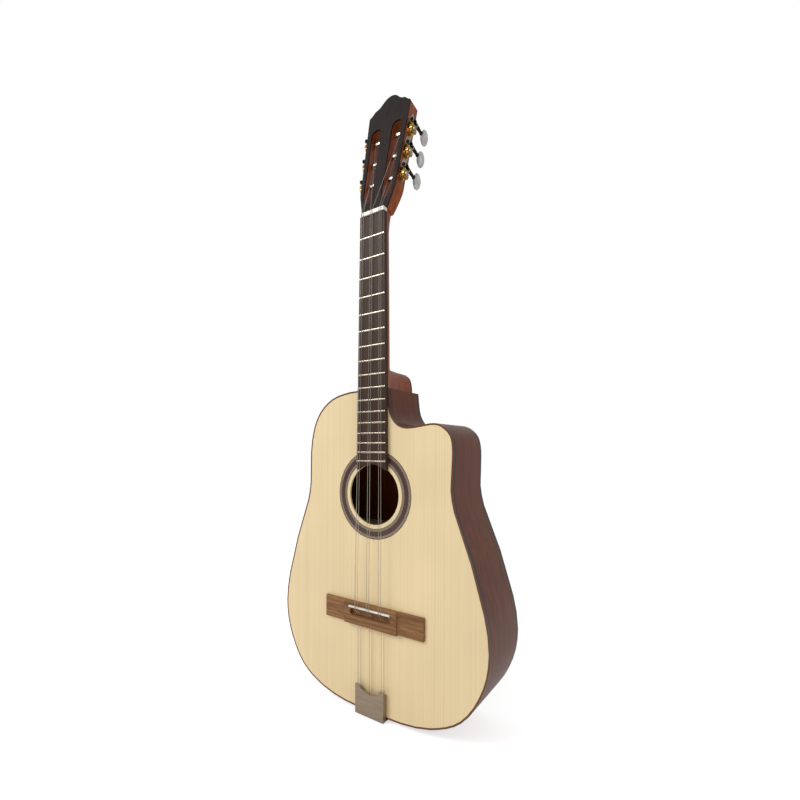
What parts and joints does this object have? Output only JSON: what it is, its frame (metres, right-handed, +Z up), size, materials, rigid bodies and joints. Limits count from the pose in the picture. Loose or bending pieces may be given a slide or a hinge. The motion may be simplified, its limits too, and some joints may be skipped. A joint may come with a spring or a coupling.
{
  "type": "cuban tres",
  "caption": "Small cutaway guitar with three double courses, a slotted head with geared tuners, a round soundhole and a tailpiece.",
  "frame": {"origin": "centre line of the neck at the fingerboard end of the nut, in the plane of the soundboard", "axes": "+Z up the neck towards the head, +Y from the soundboard to the back, +X to the treble side with the cutaway"},
  "size_m": [0.3566, 0.114, 0.914],
  "materials": {
    "spruce": "satin lacquer",
    "raw_spruce": "unfinished",
    "rosette": "inlaid, satin lacquer",
    "mahogany": "gloss lacquer",
    "dark_mahogany": "gloss lacquer",
    "binding": "gloss",
    "dark_wood": "satin",
    "bone": "polished",
    "walnut": "open grain, oiled",
    "satin_nickel": "satin",
    "nickel": "polished",
    "brass": "polished",
    "steel": "polished",
    "blackened_steel": "blackened",
    "pearl": "pearl gloss",
    "string_steel": "drawn wire"
  },
  "bodies": {
    "instrument": {"soundboard": "spruce", "rosette": "rosette", "side_bass": "dark_mahogany", "side_treble": "dark_mahogany", "back": "dark_mahogany", "top_binding": "binding", "back_binding": "binding", "tail_block": "raw_spruce", "top_lining_bass": "raw_spruce", "top_lining_treble": "raw_spruce", "back_lining_bass": "raw_spruce", "back_lining_treble": "raw_spruce", "neck": "mahogany", "headstock": "mahogany", "headplate": "dark_wood", "fingerboard": "dark_wood", "nut": "bone", "heel_cap": "dark_wood", "bridge": "walnut", "saddle": "bone", "tailpiece": "satin_nickel", "tailpiece_screw_1": "nickel", "tailpiece_screw_2": "nickel", "string_1": "string_steel", "string_2": "string_steel", "string_3": "string_steel", "string_4": "string_steel", "string_5": "string_steel", "string_6": "string_steel", "tuner_plate_bass": "nickel", "tuner_plate_treble": "nickel", "top_brace_upper": "raw_spruce", "top_brace_lower": "raw_spruce", "back_brace_upper": "raw_spruce", "back_brace_middle": "raw_spruce", "back_brace_lower": "raw_spruce"},
    "roller_body_bass_1": {"roller_bass_1": "steel", "gear_bass_1": "brass"},
    "knob_body_bass_1": {"worm_bass_1": "blackened_steel", "button_bass_1": "pearl"},
    "roller_body_bass_2": {"roller_bass_2": "steel", "gear_bass_2": "brass"},
    "knob_body_bass_2": {"worm_bass_2": "blackened_steel", "button_bass_2": "pearl"},
    "roller_body_bass_3": {"roller_bass_3": "steel", "gear_bass_3": "brass"},
    "knob_body_bass_3": {"worm_bass_3": "blackened_steel", "button_bass_3": "pearl"},
    "roller_body_treble_1": {"roller_treble_1": "steel", "gear_treble_1": "brass"},
    "knob_body_treble_1": {"worm_treble_1": "blackened_steel", "button_treble_1": "pearl"},
    "roller_body_treble_2": {"roller_treble_2": "steel", "gear_treble_2": "brass"},
    "knob_body_treble_2": {"worm_treble_2": "blackened_steel", "button_treble_2": "pearl"},
    "roller_body_treble_3": {"roller_treble_3": "steel", "gear_treble_3": "brass"},
    "knob_body_treble_3": {"worm_treble_3": "blackened_steel", "button_treble_3": "pearl"}
  },
  "joints": [
    {"name": "knob_turn_bass_1", "type": "hinge", "parent": "instrument", "child": "knob_body_bass_1", "pos_m": [-0.03837, 0.02297, 0.06832], "axis": [0, 0.9774, -0.2113], "continuous": true},
    {"name": "roller_turn_bass_1", "type": "hinge", "parent": "instrument", "child": "roller_body_bass_1", "pos_m": [-0.03214, 0.0208, 0.0583], "axis": [0.9991, 0.0088, 0.0408], "continuous": true},
    {"name": "knob_turn_bass_2", "type": "hinge", "parent": "instrument", "child": "knob_body_bass_2", "pos_m": [-0.03991, 0.03079, 0.10448], "axis": [0, 0.9774, -0.2113], "continuous": true},
    {"name": "roller_turn_bass_2", "type": "hinge", "parent": "instrument", "child": "roller_body_bass_2", "pos_m": [-0.03368, 0.02862, 0.09447], "axis": [0.9991, 0.0088, 0.0408], "continuous": true},
    {"name": "knob_turn_bass_3", "type": "hinge", "parent": "instrument", "child": "knob_body_bass_3", "pos_m": [-0.04146, 0.03861, 0.14065], "axis": [0, 0.9774, -0.2113], "continuous": true},
    {"name": "roller_turn_bass_3", "type": "hinge", "parent": "instrument", "child": "roller_body_bass_3", "pos_m": [-0.03523, 0.03644, 0.13063], "axis": [0.9991, 0.0088, 0.0408], "continuous": true},
    {"name": "knob_turn_treble_1", "type": "hinge", "parent": "instrument", "child": "knob_body_treble_1", "pos_m": [0.03837, 0.02297, 0.06832], "axis": [0, 0.9774, -0.2113], "continuous": true},
    {"name": "roller_turn_treble_1", "type": "hinge", "parent": "instrument", "child": "roller_body_treble_1", "pos_m": [0.03214, 0.0208, 0.0583], "axis": [0.9991, -0.0088, -0.0408], "continuous": true},
    {"name": "knob_turn_treble_2", "type": "hinge", "parent": "instrument", "child": "knob_body_treble_2", "pos_m": [0.03991, 0.03079, 0.10448], "axis": [0, 0.9774, -0.2113], "continuous": true},
    {"name": "roller_turn_treble_2", "type": "hinge", "parent": "instrument", "child": "roller_body_treble_2", "pos_m": [0.03368, 0.02862, 0.09447], "axis": [0.9991, -0.0088, -0.0408], "continuous": true},
    {"name": "knob_turn_treble_3", "type": "hinge", "parent": "instrument", "child": "knob_body_treble_3", "pos_m": [0.04146, 0.03861, 0.14065], "axis": [0, 0.9774, -0.2113], "continuous": true},
    {"name": "roller_turn_treble_3", "type": "hinge", "parent": "instrument", "child": "roller_body_treble_3", "pos_m": [0.03523, 0.03644, 0.13063], "axis": [0.9991, -0.0088, -0.0408], "continuous": true}
  ],
  "couplings": [
    {"joint": "roller_turn_bass_1", "follows": "knob_turn_bass_1", "ratio": 0.066667},
    {"joint": "roller_turn_bass_2", "follows": "knob_turn_bass_2", "ratio": 0.066667},
    {"joint": "roller_turn_bass_3", "follows": "knob_turn_bass_3", "ratio": 0.066667},
    {"joint": "roller_turn_treble_1", "follows": "knob_turn_treble_1", "ratio": 0.066667},
    {"joint": "roller_turn_treble_2", "follows": "knob_turn_treble_2", "ratio": 0.066667},
    {"joint": "roller_turn_treble_3", "follows": "knob_turn_treble_3", "ratio": 0.066667}
  ]
}
